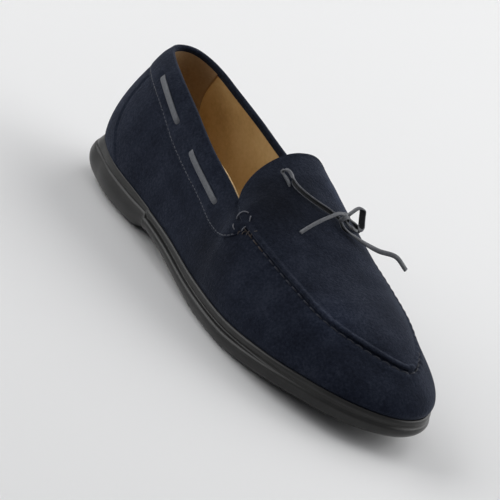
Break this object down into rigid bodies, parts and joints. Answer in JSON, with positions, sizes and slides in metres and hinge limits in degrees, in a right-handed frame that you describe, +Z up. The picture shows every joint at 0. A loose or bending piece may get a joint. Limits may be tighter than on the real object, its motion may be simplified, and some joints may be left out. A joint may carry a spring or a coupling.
{
  "type": "loafer",
  "caption": "Right-foot suede moccasin loafer with an apron front, a collar lace tied on the instep and a moulded rubber sole with tread inserts.",
  "frame": {"origin": "middle of the footprint, on the ground under the sole", "axes": "+X from heel to toe, +Y to the medial side (left of a right shoe), +Z up"},
  "size_m": [0.3034, 0.1043, 0.092],
  "materials": {
    "navy_suede": "napped suede, dull",
    "tan_leather": "smooth lining leather, satin",
    "grey_rubber": "moulded, matt",
    "black_rubber": "finely textured, matt",
    "grey_leather": "grained lace leather, dark on its flesh side"
  },
  "bodies": {
    "root": {"sole_unit": "grey_rubber", "forefoot_tread": "black_rubber", "heel_tread": "black_rubber", "insole": "tan_leather", "upper": "navy_suede", "lace_bar_lateral_rear": "grey_leather", "lace_bar_lateral_front": "grey_leather", "lace_bar_medial_rear": "grey_leather", "lace_bar_medial_front": "grey_leather", "lace_knot": "grey_leather", "lace_loop": "grey_leather", "lace_strand_lateral": "grey_leather", "lace_strand_medial": "grey_leather", "lace_tail_lateral": "grey_leather", "lace_tail_toe": "grey_leather"}
  },
  "joints": []
}
